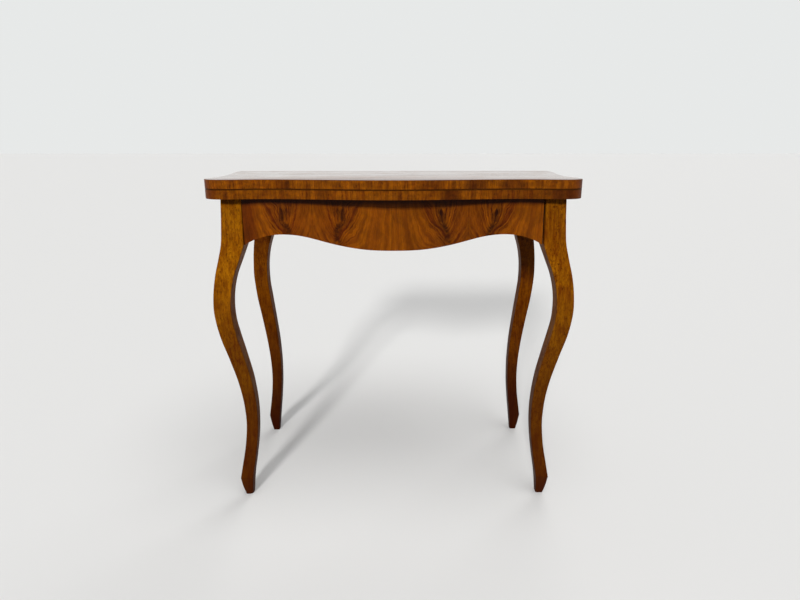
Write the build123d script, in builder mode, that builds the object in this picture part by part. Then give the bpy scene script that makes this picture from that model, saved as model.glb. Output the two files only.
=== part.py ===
"""Folding card table on cabriole legs, with a turning, folding top, in millimetres.

The table stands closed on the plane z = 0, with its front towards -Y and the
hinge edge of its two leaves along the back. The top turns a quarter turn on a
pivot under the lower leaf, and the upper leaf then opens like a book.
"""

from build123d import *
import os

# Driving dimensions of the table
table_height = 760.0
leaf_depth = 420.0
leaf_thickness = 20.0
front_overhang = 50.0
back_overhang = 30.0
side_overhang = 53.0
running_gap = 0.3
overrun = 5.0

# Serpentine sides of the opened square top
side_neck_depth = 30.0
side_neck_place_share = 0.655
side_lobe_rise = 10.0
corner_radius = 45.0

# Leaf make-up
veneer_thickness = 1.2
lipping_width = 14.0

# Legs
leg_square = 43.0
knee_sweep = 27.0

# Aprons, with tenons into the legs
apron_depth = 100.0
apron_thickness = 21.0
apron_setback = 1.0
tenon_thickness = 7.0
tenon_length = 20.0
tenon_height = 68.0
tenon_top_margin = 18.0
front_crest_rise = 36.0
front_shoulder_rise = 13.0
side_crest_rise = 22.0
side_shoulder_rise = 6.0
left_shrinkage = 0.6
right_shrinkage_top = 4.5
right_shrinkage_bottom = 2.5
outer_sheet_joint_left = 175.0
centre_sheet_joint = 5.0
outer_sheet_joint_right = 160.0

# Pivot rail and card compartment
rail_width = 56.0
rail_depth = 30.0
rail_housing = 8.0
compartment_depth = 56.0
floor_thickness = 8.0
divider_thickness = 12.0
ledger_size = 12.0
block_size = 20.0
block_height = 60.0

# Pivot ironwork
pivot_radius = 6.0
pivot_clearance = 0.05
pivot_head_radius = 12.0
pivot_head_thickness = 3.0
plate_side = 80.0
plate_thickness = 4.0
plate_corner_radius = 6.0
bush_radius = 9.0
washer_radius = 15.0
washer_thickness = 2.5
nut_radius = 11.0
nut_thickness = 8.0
bolt_tail = 3.0
plate_screw_radius = 2.5
plate_screw_head_radius = 4.5
plate_screw_length = 14.0
plate_screw_spacing = 58.0

# Stop peg that limits the turn of the top
peg_radius = 7.0
peg_drop = 28.0
peg_socket = 10.0

# Double-pin hinges let into the side edges of the leaves
hinge_pin_inset = 3.2
hinge_pin_radius = 1.3
hinge_pin_clearance = 0.05
hinge_width = 9.0
hinge_link_thickness = 3.0
hinge_link_play = 0.15
hinge_tongue_length = 33.0
hinge_tongue_height = 9.5
hinge_tongue_cover = 1.7
hinge_edge_setback = 1.5
hinge_eye_room = 0.4
hinge_screw_radius = 1.5
hinge_screw_head_radius = 2.6
hinge_screw_length = 20.0
hinge_screw_first = 16.0
hinge_screw_pitch = 11.0

# Levels
half_gap = running_gap / 2
joint_z = table_height - leaf_thickness
under_z = joint_z - leaf_thickness
frame_top_z = under_z - running_gap
lower_face_z = joint_z - half_gap
upper_face_z = joint_z + half_gap
apron_bottom_z = frame_top_z - apron_depth
compartment_z = frame_top_z - compartment_depth
floor_under_z = compartment_z - floor_thickness
rail_under_z = frame_top_z - rail_depth

# Plan of the frame, which carries the closed top with an overhang on every side
side_neck_place = leaf_depth * side_neck_place_share
frame_depth = leaf_depth - front_overhang - back_overhang
hinge_y = (leaf_depth + half_gap) / 2
back_face_y = hinge_y - back_overhang
front_face_y = back_face_y - frame_depth
frame_y = (back_face_y + front_face_y) / 2
frame_half_width = leaf_depth - side_overhang
apron_inset = apron_setback + apron_thickness
front_inner_y = front_face_y + apron_inset
back_inner_y = back_face_y - apron_inset
side_inner_x = frame_half_width - apron_inset
leg_inner_x = frame_half_width - leg_square
leg_inner_front_y = front_face_y + leg_square
leg_inner_back_y = back_face_y - leg_square

# The pivot brings the hinge line over the middle of the frame in a quarter turn
pivot_offset = (hinge_y - frame_y) / 2
pivot_x = pivot_offset
pivot_y = frame_y + pivot_offset
rail_left_x = pivot_x - rail_width / 2

# The peg meets the back apron when closed, and the front apron when turned
peg_offset = frame_depth / 2 - apron_inset - peg_radius - running_gap
peg_x = -peg_offset
peg_y = frame_y + peg_offset


def level_plane(z):
    """Horizontal plane at height z."""
    return Plane.XY.offset(z)


def front_plane(y):
    """Upright plane facing the front at depth y. Extrusions from it run forwards."""
    return Plane.XZ.offset(-y)


def side_plane(x):
    """Upright plane facing the right side at x. Extrusions from it run to the right."""
    return Plane.YZ.offset(x)


# Plan of one leaf

def leaf_plan(inset):
    """Half of the opened square, from the hinge line to the front bow."""
    bow = leaf_depth - inset
    neck = leaf_depth - side_neck_depth - inset
    lobe = leaf_depth - side_neck_depth + side_lobe_rise - inset
    corner_centre = leaf_depth - side_neck_depth + side_lobe_rise - corner_radius
    corner = corner_radius - inset
    corner_middle = corner_centre + corner * 0.5 ** 0.5
    along = (1, 0)
    down = (0, -1)
    with BuildSketch() as plan:
        with BuildLine():
            Line((0, hinge_y), (bow, hinge_y))
            Spline((bow, hinge_y), (neck, hinge_y - side_neck_place), tangents=(down, down))
            Spline(
                (neck, hinge_y - side_neck_place),
                (lobe, hinge_y - corner_centre),
                tangents=(down, down),
            )
            ThreePointArc(
                (lobe, hinge_y - corner_centre),
                (corner_middle, hinge_y - corner_middle),
                (corner_centre, hinge_y - lobe),
            )
            Spline(
                (side_neck_place, hinge_y - neck),
                (corner_centre, hinge_y - lobe),
                tangents=(along, along),
            )
            Spline((0, hinge_y - bow), (side_neck_place, hinge_y - neck), tangents=(along, along))
            Line((0, hinge_y - bow), (0, hinge_y))
        make_face()
        mirror(about=Plane.YZ)
    return plan.sketch


def behind(sketch_y):
    """Rectangle that covers everything behind sketch_y."""
    with BuildSketch() as cover:
        with Locations((0, sketch_y)):
            Rectangle(4 * leaf_depth, leaf_depth, align=(Align.CENTER, Align.MIN))
    return cover.sketch


back_edge_y = hinge_y - half_gap
lipping_y = hinge_y - lipping_width

# Hinge places, for the right-hand end
hinge_outer_x = leaf_depth - hinge_edge_setback
hinge_inner_x = hinge_outer_x - hinge_width
link_inner_x = hinge_outer_x - hinge_width / 2 - hinge_link_thickness / 2
pin_y = hinge_y - hinge_pin_inset
lower_pin_z = joint_z - hinge_pin_inset
upper_pin_z = joint_z + hinge_pin_inset
eye_radius = hinge_pin_inset - half_gap
eye_room_y = pin_y - hinge_pin_inset - hinge_eye_room
tongue_end_y = pin_y - hinge_tongue_length
tongue_top_drop = hinge_tongue_cover - hinge_pin_inset
tongue_middle_drop = hinge_tongue_height / 2 + tongue_top_drop
hinge_screw_places = (pin_y - hinge_screw_first, pin_y - hinge_screw_first - hinge_screw_pitch)


def flush_screw(head_radius, shank_radius, length):
    """Screw with its flat head sunk flush at the origin and its shank along -Z."""
    with BuildPart() as screw:
        with BuildSketch(Plane.XZ):
            with BuildLine():
                Polyline(
                    (0, 0),
                    (head_radius, 0),
                    (head_radius, shank_radius - head_radius),
                    (shank_radius, shank_radius - head_radius),
                    (shank_radius, -length),
                    (0, -length),
                    close=True,
                )
            make_face()
        revolve(axis=Axis.Z)
    return screw.part


def hinge_screws(side, pin_z, into_leaf):
    """The two screws of one hinge plate, driven inwards from the side edge."""
    screw = flush_screw(hinge_screw_head_radius, hinge_screw_radius, hinge_screw_length)
    tongue_z = pin_z + into_leaf * tongue_middle_drop
    with BuildPart() as screws:
        for y in hinge_screw_places:
            seat = (side * hinge_outer_x, y, tongue_z)
            place = Plane(origin=seat, x_dir=(0, 1, 0), z_dir=(side, 0, 0))
            add(screw.moved(place.location))
    return screws.part


def hinge_tongue(pin_z, into_leaf):
    """Outline of the part of a hinge plate, or its pocket, that lies along the side edge."""
    with BuildSketch() as tongue:
        with Locations(((tongue_end_y + pin_y) / 2, pin_z + into_leaf * tongue_middle_drop)):
            Rectangle(hinge_tongue_length, hinge_tongue_height)
    return tongue.sketch


def hinge_pocket(side, pin_z, into_leaf):
    """Pocket in a leaf for one hinge plate, open to the side and round the eye."""
    eye_low = pin_z + into_leaf * (hinge_tongue_height + tongue_top_drop)
    eye_high = pin_z - into_leaf * (hinge_pin_inset + overrun)
    with BuildPart() as pocket:
        with BuildSketch(side_plane(hinge_inner_x)):
            add(hinge_tongue(pin_z, into_leaf))
            with Locations((eye_room_y, (eye_low + eye_high) / 2)):
                Rectangle(
                    hinge_pin_inset * 2 + overrun,
                    abs(eye_high - eye_low),
                    align=(Align.MIN, Align.CENTER),
                )
        extrude(amount=hinge_width + overrun)
    if side < 0:
        return pocket.part.mirror(Plane.YZ)
    return pocket.part


def hinge_plate(side, pin_z, into_leaf):
    """Brass plate let into a leaf, forked round the link at its eye."""
    with BuildPart() as plate:
        with BuildSketch(side_plane(hinge_inner_x)):
            add(hinge_tongue(pin_z, into_leaf))
            with Locations((pin_y, pin_z)):
                Circle(eye_radius)
                Circle(hinge_pin_radius, mode=Mode.SUBTRACT)
        extrude(amount=hinge_width)
        with BuildSketch(side_plane(link_inner_x - hinge_link_play)):
            with Locations((eye_room_y, pin_z)):
                Rectangle(
                    hinge_pin_inset * 2 + overrun,
                    hinge_tongue_height * 2 + overrun,
                    align=(Align.MIN, Align.CENTER),
                )
        extrude(amount=hinge_link_thickness + 2 * hinge_link_play, mode=Mode.SUBTRACT)
    right_plate = plate.part - hinge_screws(1, pin_z, into_leaf)
    if side < 0:
        return right_plate.mirror(Plane.YZ)
    return right_plate


def cut_for_hinges(leaf_piece, pin_z, into_leaf):
    """A leaf's piece with the pockets and screw holes of both hinges cut out."""
    with BuildPart() as cut_piece:
        add(leaf_piece)
        for side in (-1, 1):
            add(hinge_pocket(side, pin_z, into_leaf), mode=Mode.SUBTRACT)
            add(hinge_screws(side, pin_z, into_leaf), mode=Mode.SUBTRACT)
    return cut_piece.part


def leaf_board(low_z, high_z):
    """Core board of a leaf, between its veneers and inside its edge band."""
    with BuildPart() as board:
        with BuildSketch(level_plane(low_z)):
            add(leaf_plan(veneer_thickness))
            add(behind(lipping_y), mode=Mode.SUBTRACT)
        extrude(amount=high_z - low_z)
    return board.part


def leaf_edge_band(low_z, high_z):
    """Cross-grained veneer band round the three shaped sides of a leaf."""
    with BuildPart() as band:
        with BuildSketch(level_plane(low_z)):
            add(leaf_plan(0))
            add(leaf_plan(veneer_thickness), mode=Mode.SUBTRACT)
            add(behind(lipping_y), mode=Mode.SUBTRACT)
        extrude(amount=high_z - low_z)
    return band.part


def leaf_veneer(low_z):
    """Face veneer of a leaf, from the hinge lipping to the shaped edges."""
    with BuildPart() as veneer:
        with BuildSketch(level_plane(low_z)):
            add(leaf_plan(0))
            add(behind(lipping_y), mode=Mode.SUBTRACT)
        extrude(amount=veneer_thickness)
    return veneer.part


def leaf_lipping(low_z, high_z, face_z):
    """Solid lipping of the hinge edge, rounded about the hinge pins at the joint."""
    with BuildPart() as lipping:
        with BuildSketch(level_plane(low_z)):
            add(leaf_plan(0))
            add(behind(lipping_y), mode=Mode.INTERSECT)
            add(behind(back_edge_y), mode=Mode.SUBTRACT)
        extrude(amount=high_z - low_z)
        level_edges = lipping.edges().filter_by(Axis.X).group_by(Axis.Z)
        joint_edges = level_edges[0 if face_z == low_z else -1]
        fillet(joint_edges.sort_by(Axis.Y)[-1], radius=eye_radius)
    return lipping.part


# Legs

leg_level_shares = (
    (1.0, 0.0),
    (0.917, 0.11),
    (0.864, 0.22),
    (0.82, 0.455),
    (0.775, 0.72),
    (0.70, 0.97),
    (0.664, 1.0),
    (0.625, 0.926),
    (0.584, 0.774),
    (0.497, 0.293),
    (0.407, -0.163),
    (0.317, -0.43),
    (0.26, -0.456),
    (0.186, -0.293),
    (0.103, 0.085),
    (0.068, 0.256),
)
toe_shares = ((0.068, 0.256), (0.033, 0.13), (0.0, -0.056))
leg_back_shares = (
    (0.85, 1.0),
    (0.81, 0.707),
    (0.775, 0.50),
    (0.739, 0.353),
    (0.70, 0.263),
    (0.664, 0.24),
    (0.625, 0.268),
    (0.584, 0.365),
    (0.497, 0.61),
    (0.407, 0.828),
    (0.317, 0.93),
    (0.228, 0.888),
    (0.145, 0.73),
    (0.068, 0.537),
    (0.0, 0.43),
)


def leg_profile():
    """Side view of a leg: distance out from the frame face against height."""
    front = [(knee_sweep * out, frame_top_z * up) for up, out in leg_level_shares]
    toe = [(knee_sweep * out, frame_top_z * up) for up, out in toe_shares]
    back = [(-leg_square * depth, frame_top_z * up) for up, depth in leg_back_shares]
    with BuildSketch() as profile:
        with BuildLine():
            Line((-leg_square, frame_top_z), front[0])
            Spline(*front)
            Spline(*toe)
            Line(toe[-1], back[-1])
            Spline(*back)
            Line(back[0], (-leg_square, frame_top_z))
        make_face()
    return profile.sketch


tenon_low_z = frame_top_z - tenon_top_margin - tenon_height
tenon_middle_inset = apron_inset / 2
mortise_reach = leg_square - tenon_length


def make_leg():
    """One cabriole leg, its outer faces at x = 0 and y = 0, sawn from two sides."""
    with BuildPart() as leg:
        with BuildSketch(Plane.XZ.offset(-leg_square)):
            add(leg_profile())
        extrude(amount=leg_square * 3)
        with BuildSketch(Plane.YZ.offset(-leg_square)):
            add(leg_profile())
        extrude(amount=leg_square * 3, mode=Mode.INTERSECT)
        with Locations((-leg_square, -tenon_middle_inset, tenon_low_z)):
            Box(
                tenon_length,
                tenon_thickness,
                tenon_height,
                align=(Align.MIN, Align.CENTER, Align.MIN),
                mode=Mode.SUBTRACT,
            )
        with Locations((-tenon_middle_inset, -leg_square, tenon_low_z)):
            Box(
                tenon_thickness,
                tenon_length,
                tenon_height,
                align=(Align.CENTER, Align.MIN, Align.MIN),
                mode=Mode.SUBTRACT,
            )
    return leg.part


# Aprons

apron_curve_shares = ((0.74, 1.0), (0.43, 0.47), (0.23, 0.11), (0.0, 0.0))
shoulder_slope_share = 0.65


def half_apron_outline(half_span, low_z, crest_rise, shoulder_rise, top_end, bottom_end):
    """Right half of a shaped apron: a drop at the centre, a crest and a shoulder."""
    curve = [(half_span * along, low_z + crest_rise * up) for along, up in apron_curve_shares]
    shoulder = (bottom_end, low_z + shoulder_rise)
    with BuildSketch() as outline:
        with BuildLine():
            Line((0, frame_top_z), (top_end, frame_top_z))
            Line((top_end, frame_top_z), shoulder)
            Spline(shoulder, curve[0], tangents=((-1, shoulder_slope_share), (-1, 0)))
            Spline(*curve, tangents=((-1, 0), (-1, 0)))
            Line(curve[-1], (0, frame_top_z))
        make_face()
    return outline.sketch


front_low_z = apron_bottom_z - front_shoulder_rise
side_low_z = apron_bottom_z - side_shoulder_rise
side_half_span = frame_depth / 2 - leg_square


def front_outline():
    """Whole front apron, with the shrinkage gaps at its two ends."""
    with BuildSketch() as outline:
        add(
            half_apron_outline(
                leg_inner_x,
                front_low_z,
                front_crest_rise,
                front_shoulder_rise,
                leg_inner_x - right_shrinkage_top,
                leg_inner_x - right_shrinkage_bottom,
            )
        )
        left_end = leg_inner_x - left_shrinkage
        left_half = half_apron_outline(
            leg_inner_x,
            front_low_z,
            front_crest_rise,
            front_shoulder_rise,
            left_end,
            left_end,
        )
        add(left_half.mirror(Plane.YZ))
    return outline.sketch


def tenon_pair(half_span, end_gap):
    """Outline of the two tenons of an apron, from its ends into the legs."""
    with BuildSketch() as tenons:
        for side in (-1, 1):
            with Locations((side * (half_span - end_gap), tenon_low_z)):
                Rectangle(
                    tenon_length + end_gap,
                    tenon_height,
                    align=(Align.MIN if side > 0 else Align.MAX, Align.MIN),
                )
    return tenons.sketch


core_front_y = front_face_y + apron_setback + veneer_thickness
sheet_joints = (
    -leg_inner_x,
    -outer_sheet_joint_left,
    -centre_sheet_joint,
    outer_sheet_joint_right,
    leg_inner_x,
)


def rail_slot(low_y):
    """Housing for an end of the pivot rail, cut into an apron's inner side."""
    with BuildPart() as slot:
        with Locations((pivot_x, low_y, rail_under_z)):
            Box(rail_width, rail_housing, rail_depth, align=(Align.CENTER, Align.MIN, Align.MIN))
    return slot.part


pieces = {}


def keep(name, part):
    """Label a finished piece and add it to the set that is written."""
    part.label = name
    pieces[name] = part


# Leaves: the upper one lies face down on the lower one when closed
band_low_z = under_z
band_high_z = lower_face_z - veneer_thickness
upper_band_low_z = upper_face_z + veneer_thickness
upper_band_high_z = table_height - veneer_thickness

upper_board = leaf_board(upper_band_low_z, upper_band_high_z)
upper_band = leaf_edge_band(upper_band_low_z, upper_band_high_z)
upper_lipping = leaf_lipping(upper_face_z, table_height, upper_face_z)
keep("upper_leaf_board", cut_for_hinges(upper_board, upper_pin_z, 1))
keep("upper_leaf_edge_band", cut_for_hinges(upper_band, upper_pin_z, 1))
keep("upper_leaf_back_lipping", cut_for_hinges(upper_lipping, upper_pin_z, 1))
keep("upper_leaf_top_veneer", leaf_veneer(table_height - veneer_thickness))
keep("upper_leaf_playing_veneer", leaf_veneer(upper_face_z))

with BuildPart() as pivot_stud:
    with BuildSketch(Plane.XZ):
        with BuildLine():
            Polyline(
                (0, under_z + plate_thickness + pivot_head_thickness),
                (pivot_head_radius, under_z + plate_thickness + pivot_head_thickness),
                (pivot_head_radius, under_z + plate_thickness),
                (pivot_radius, under_z + plate_thickness),
                (pivot_radius, rail_under_z - running_gap - washer_thickness - nut_thickness - bolt_tail),
                (0, rail_under_z - running_gap - washer_thickness - nut_thickness - bolt_tail),
                close=True,
            )
        make_face()
    revolve(axis=Axis.Z)
pivot_place = Location((pivot_x, pivot_y, 0))
keep("pivot_bolt", pivot_stud.part.moved(pivot_place))

with BuildPart() as plate_screw_set:
    with Locations(Plane(origin=(pivot_x, pivot_y, under_z), x_dir=(1, 0, 0), z_dir=(0, 0, -1))):
        with GridLocations(plate_screw_spacing, plate_screw_spacing, 2, 2):
            add(
                flush_screw(
                    plate_screw_head_radius,
                    plate_screw_radius,
                    plate_screw_length,
                )
            )
keep("pivot_plate_screws", plate_screw_set.part)

with BuildPart() as iron_plate:
    with BuildSketch(level_plane(under_z)):
        with Locations((pivot_x, pivot_y)):
            RectangleRounded(plate_side, plate_side, plate_corner_radius)
            Circle(pivot_radius, mode=Mode.SUBTRACT)
    extrude(amount=plate_thickness)
    add(plate_screw_set.part, mode=Mode.SUBTRACT)
keep("pivot_plate", iron_plate.part)

with BuildPart() as peg:
    with BuildSketch(level_plane(under_z - peg_drop)):
        with Locations((peg_x, peg_y)):
            Circle(peg_radius)
    extrude(amount=peg_drop + peg_socket)
keep("stop_peg", peg.part)

with BuildPart() as lower_board:
    add(cut_for_hinges(leaf_board(band_low_z, band_high_z), lower_pin_z, -1))
    with BuildSketch(level_plane(under_z)):
        with Locations((pivot_x, pivot_y)):
            RectangleRounded(plate_side, plate_side, plate_corner_radius)
    extrude(amount=plate_thickness, mode=Mode.SUBTRACT)
    with BuildSketch(level_plane(under_z)):
        with Locations((pivot_x, pivot_y)):
            Circle(pivot_head_radius)
    extrude(amount=plate_thickness + pivot_head_thickness, mode=Mode.SUBTRACT)
    add(plate_screw_set.part, mode=Mode.SUBTRACT)
    add(peg.part, mode=Mode.SUBTRACT)
keep("lower_leaf_board", lower_board.part)

lower_band = leaf_edge_band(band_low_z, band_high_z)
lower_lipping = leaf_lipping(under_z, lower_face_z, lower_face_z)
keep("lower_leaf_edge_band", cut_for_hinges(lower_band, lower_pin_z, -1))
keep("lower_leaf_back_lipping", cut_for_hinges(lower_lipping, lower_pin_z, -1))
keep("lower_leaf_playing_veneer", leaf_veneer(lower_face_z - veneer_thickness))

# Hinges
for leaf_name, pin_z, into_leaf in (("lower", lower_pin_z, -1), ("upper", upper_pin_z, 1)):
    for side_name, side in (("left", -1), ("right", 1)):
        keep(leaf_name + "_hinge_plate_" + side_name, hinge_plate(side, pin_z, into_leaf))
    with BuildPart() as screws:
        for side in (-1, 1):
            add(hinge_screws(side, pin_z, into_leaf))
    keep(leaf_name + "_hinge_screws", screws.part)
    with BuildPart() as pins:
        for low_x in (-hinge_outer_x, hinge_inner_x):
            with BuildSketch(side_plane(low_x)):
                with Locations((pin_y, pin_z)):
                    Circle(hinge_pin_radius)
            extrude(amount=hinge_width)
    keep(leaf_name + "_hinge_pins", pins.part)

with BuildPart() as link:
    with BuildSketch(side_plane(link_inner_x)):
        with Locations((pin_y, joint_z)):
            SlotCenterToCenter(2 * hinge_pin_inset, 2 * eye_radius, rotation=90)
        with Locations((pin_y, lower_pin_z), (pin_y, upper_pin_z)):
            Circle(hinge_pin_radius + hinge_pin_clearance, mode=Mode.SUBTRACT)
    extrude(amount=hinge_link_thickness)
keep("hinge_link_right", link.part)
keep("hinge_link_left", link.part.mirror(Plane.YZ))

# Legs, one form mirrored to the four corners
leg_form = make_leg()
leg_form_left = leg_form.mirror(Plane.YZ)
keep("back_right_leg", leg_form.moved(Location((frame_half_width, back_face_y, 0))))
keep("back_left_leg", leg_form_left.moved(Location((-frame_half_width, back_face_y, 0))))
front_right_form = leg_form.mirror(Plane.XZ)
front_left_form = leg_form_left.mirror(Plane.XZ)
keep("front_right_leg", front_right_form.moved(Location((frame_half_width, front_face_y, 0))))
keep("front_left_leg", front_left_form.moved(Location((-frame_half_width, front_face_y, 0))))

# Front apron: a pine core, faced with four sheets of figured veneer
tenon_back_y = front_face_y + tenon_middle_inset + tenon_thickness / 2
with BuildPart() as front_core:
    with BuildSketch(front_plane(front_inner_y)):
        add(front_outline())
    extrude(amount=front_inner_y - core_front_y)
    with BuildSketch(front_plane(tenon_back_y)):
        add(tenon_pair(leg_inner_x, right_shrinkage_top))
    extrude(amount=tenon_thickness)
    add(rail_slot(front_inner_y - rail_housing), mode=Mode.SUBTRACT)
keep("front_apron", front_core.part)

sheet_names = ("far_left", "left", "right", "far_right")
for sheet_name, low_x, high_x in zip(sheet_names, sheet_joints[:-1], sheet_joints[1:]):
    with BuildPart() as sheet:
        with BuildSketch(front_plane(core_front_y)):
            add(front_outline())
            with Locations(((low_x + high_x) / 2, frame_top_z)):
                Rectangle(high_x - low_x, 2 * frame_top_z, mode=Mode.INTERSECT)
        extrude(amount=veneer_thickness)
    keep("front_veneer_" + sheet_name, sheet.part)

# Back apron: a plain board
with BuildPart() as back_board:
    with BuildSketch(front_plane(back_face_y - apron_setback)):
        with Locations((0, apron_bottom_z)):
            Rectangle(2 * leg_inner_x, apron_depth, align=(Align.CENTER, Align.MIN))
    extrude(amount=apron_thickness)
    with BuildSketch(front_plane(back_face_y - tenon_middle_inset + tenon_thickness / 2)):
        add(tenon_pair(leg_inner_x, 0))
    extrude(amount=tenon_thickness)
    add(rail_slot(back_inner_y), mode=Mode.SUBTRACT)
keep("back_apron", back_board.part)

# Side aprons, shaped like the front one on a shorter span
with BuildPart() as side_board:
    with BuildSketch(Plane.YZ.offset(side_inner_x)):
        half_outline = half_apron_outline(
            side_half_span,
            side_low_z,
            side_crest_rise,
            side_shoulder_rise,
            side_half_span,
            side_half_span,
        )
        add(half_outline)
        add(half_outline.mirror(Plane.YZ))
    extrude(amount=apron_thickness)
    with BuildSketch(Plane.YZ.offset(frame_half_width - tenon_middle_inset - tenon_thickness / 2)):
        add(tenon_pair(side_half_span, 0))
    extrude(amount=tenon_thickness)
right_side_board = side_board.part.moved(Location((0, frame_y, 0)))
keep("right_apron", right_side_board)
keep("left_apron", right_side_board.mirror(Plane.YZ))

# Pivot rail, housed in the front and back aprons, with its iron bush
with BuildPart() as rail:
    with Locations((pivot_x, front_inner_y - rail_housing, rail_under_z)):
        Box(
            rail_width,
            back_inner_y - front_inner_y + 2 * rail_housing,
            rail_depth,
            align=(Align.CENTER, Align.MIN, Align.MIN),
        )
    with BuildSketch(level_plane(rail_under_z)):
        with Locations((pivot_x, pivot_y)):
            Circle(bush_radius)
    extrude(amount=rail_depth, mode=Mode.SUBTRACT)
keep("pivot_rail", rail.part)

with BuildPart() as bush:
    with BuildSketch(level_plane(rail_under_z)):
        with Locations((pivot_x, pivot_y)):
            Circle(bush_radius)
            Circle(pivot_radius + pivot_clearance, mode=Mode.SUBTRACT)
    extrude(amount=rail_depth)
keep("pivot_bush", bush.part)

with BuildPart() as washer:
    with BuildSketch(level_plane(rail_under_z - running_gap - washer_thickness)):
        with Locations((pivot_x, pivot_y)):
            Circle(washer_radius)
            Circle(pivot_radius, mode=Mode.SUBTRACT)
    extrude(amount=washer_thickness)
keep("pivot_washer", washer.part)

with BuildPart() as nut:
    with BuildSketch(level_plane(rail_under_z - running_gap - washer_thickness - nut_thickness)):
        with Locations((pivot_x, pivot_y)):
            RegularPolygon(nut_radius, 6)
            Circle(pivot_radius, mode=Mode.SUBTRACT)
    extrude(amount=nut_thickness)
keep("pivot_nut", nut.part)

# Card compartment: floor board, divider under the rail, and ledger strips
frame_inner_depth = back_inner_y - front_inner_y
with BuildPart() as floor_board:
    with BuildSketch(level_plane(floor_under_z)):
        with Locations((-side_inner_x, front_inner_y)):
            Rectangle(side_inner_x + rail_left_x, frame_inner_depth, align=(Align.MIN, Align.MIN))
        with Locations((-side_inner_x, front_inner_y), (-side_inner_x, leg_inner_back_y)):
            Rectangle(
                side_inner_x - leg_inner_x,
                leg_inner_front_y - front_inner_y,
                align=(Align.MIN, Align.MIN),
                mode=Mode.SUBTRACT,
            )
    extrude(amount=floor_thickness)
keep("compartment_floor", floor_board.part)

with BuildPart() as divider:
    with Locations((rail_left_x, front_inner_y, floor_under_z)):
        Box(
            divider_thickness,
            frame_inner_depth,
            rail_under_z - floor_under_z,
            align=(Align.MIN, Align.MIN, Align.MIN),
        )
keep("compartment_divider", divider.part)

ledger_low_z = floor_under_z - ledger_size
long_ledger = rail_left_x + divider_thickness + leg_inner_x
short_ledger = leg_inner_back_y - leg_inner_front_y
with BuildPart() as ledgers:
    with Locations((-leg_inner_x, front_inner_y, ledger_low_z)):
        Box(long_ledger, ledger_size, ledger_size, align=(Align.MIN, Align.MIN, Align.MIN))
    with Locations((-leg_inner_x, back_inner_y, ledger_low_z)):
        Box(long_ledger, ledger_size, ledger_size, align=(Align.MIN, Align.MAX, Align.MIN))
    with Locations((-side_inner_x, frame_y, ledger_low_z)):
        Box(ledger_size, short_ledger, ledger_size, align=(Align.MIN, Align.CENTER, Align.MIN))
keep("floor_ledgers", ledgers.part)

# Triangular glue blocks in the two corners to the right of the pivot rail
block_low_z = frame_top_z - tenon_top_margin - block_height
block_corners = (
    (leg_inner_x, front_inner_y, -1, 1),
    (leg_inner_x, back_inner_y, -1, -1),
    (side_inner_x, leg_inner_front_y, -1, 1),
    (side_inner_x, leg_inner_back_y, -1, -1),
)
with BuildPart() as blocks:
    for x, y, toward_x, toward_y in block_corners:
        with BuildSketch(level_plane(block_low_z)):
            with BuildLine():
                Polyline(
                    (x, y),
                    (x + toward_x * block_size, y),
                    (x, y + toward_y * block_size),
                    close=True,
                )
            make_face()
        extrude(amount=block_height)
keep("corner_blocks", blocks.part)

os.makedirs("parts", exist_ok=True)
for name, part in pieces.items():
    export_step(part, "parts/" + name + ".step")
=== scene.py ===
import math

import bmesh
import bpy
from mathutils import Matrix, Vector, noise


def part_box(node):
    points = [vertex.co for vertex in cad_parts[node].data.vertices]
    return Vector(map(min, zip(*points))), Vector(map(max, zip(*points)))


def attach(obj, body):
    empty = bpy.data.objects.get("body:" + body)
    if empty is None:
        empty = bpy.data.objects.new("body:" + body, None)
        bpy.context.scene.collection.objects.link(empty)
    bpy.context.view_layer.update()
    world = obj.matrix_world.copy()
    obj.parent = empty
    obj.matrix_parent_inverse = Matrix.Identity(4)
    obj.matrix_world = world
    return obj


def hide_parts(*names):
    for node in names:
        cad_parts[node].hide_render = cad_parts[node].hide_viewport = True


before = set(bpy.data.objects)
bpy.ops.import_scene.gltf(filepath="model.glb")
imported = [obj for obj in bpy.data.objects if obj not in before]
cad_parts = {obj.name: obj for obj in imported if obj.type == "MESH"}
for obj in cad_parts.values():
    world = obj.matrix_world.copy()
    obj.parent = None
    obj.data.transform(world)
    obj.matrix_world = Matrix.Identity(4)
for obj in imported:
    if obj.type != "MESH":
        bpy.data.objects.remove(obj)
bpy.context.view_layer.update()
scene = bpy.context.scene

# Room and camera
# The closed table stands on a plain pale floor and is seen from the front, from a little above its top.
# The camera's height, tilt and lens are those that the photograph's upright lines and feet give.
camera_place = (0.0025, -1.3416, 0.8273)
camera_tilt = math.radians(15.66)
camera_turn = math.radians(0.5)
camera_focus_pixels = 551.0
photo_width_pixels = 800.0
sensor_width = 36.0
near_clip = 0.02

camera_data = bpy.data.cameras.new("camera")
camera_data.sensor_width = sensor_width
camera_data.lens = camera_focus_pixels / photo_width_pixels * sensor_width
camera_data.clip_start = near_clip
camera = bpy.data.objects.new("camera", camera_data)
camera.location = camera_place
camera.rotation_euler = (math.pi / 2 - camera_tilt, 0.0, -camera_turn)
scene.collection.objects.link(camera)
scene.camera = camera
scene.view_settings.view_transform = "Standard"

floor_half_size = 60.0
floor_corners = [(-1, -1), (1, -1), (1, 1), (-1, 1)]
floor_colour = (0.71, 0.705, 0.69, 1.0)
floor_bounce_colour = (0.19, 0.17, 0.14, 1.0)
floor_roughness = 0.75
floor_specular = 0.2
backdrop_colour = (0.80, 0.815, 0.81, 1.0)
ambient_colour = (0.93, 0.95, 1.0, 1.0)
ambient_level = 0.22
mirrored_front_level = 0.12
mirror_dark_y = -0.55
mirror_bright_y = 0.15

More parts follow.
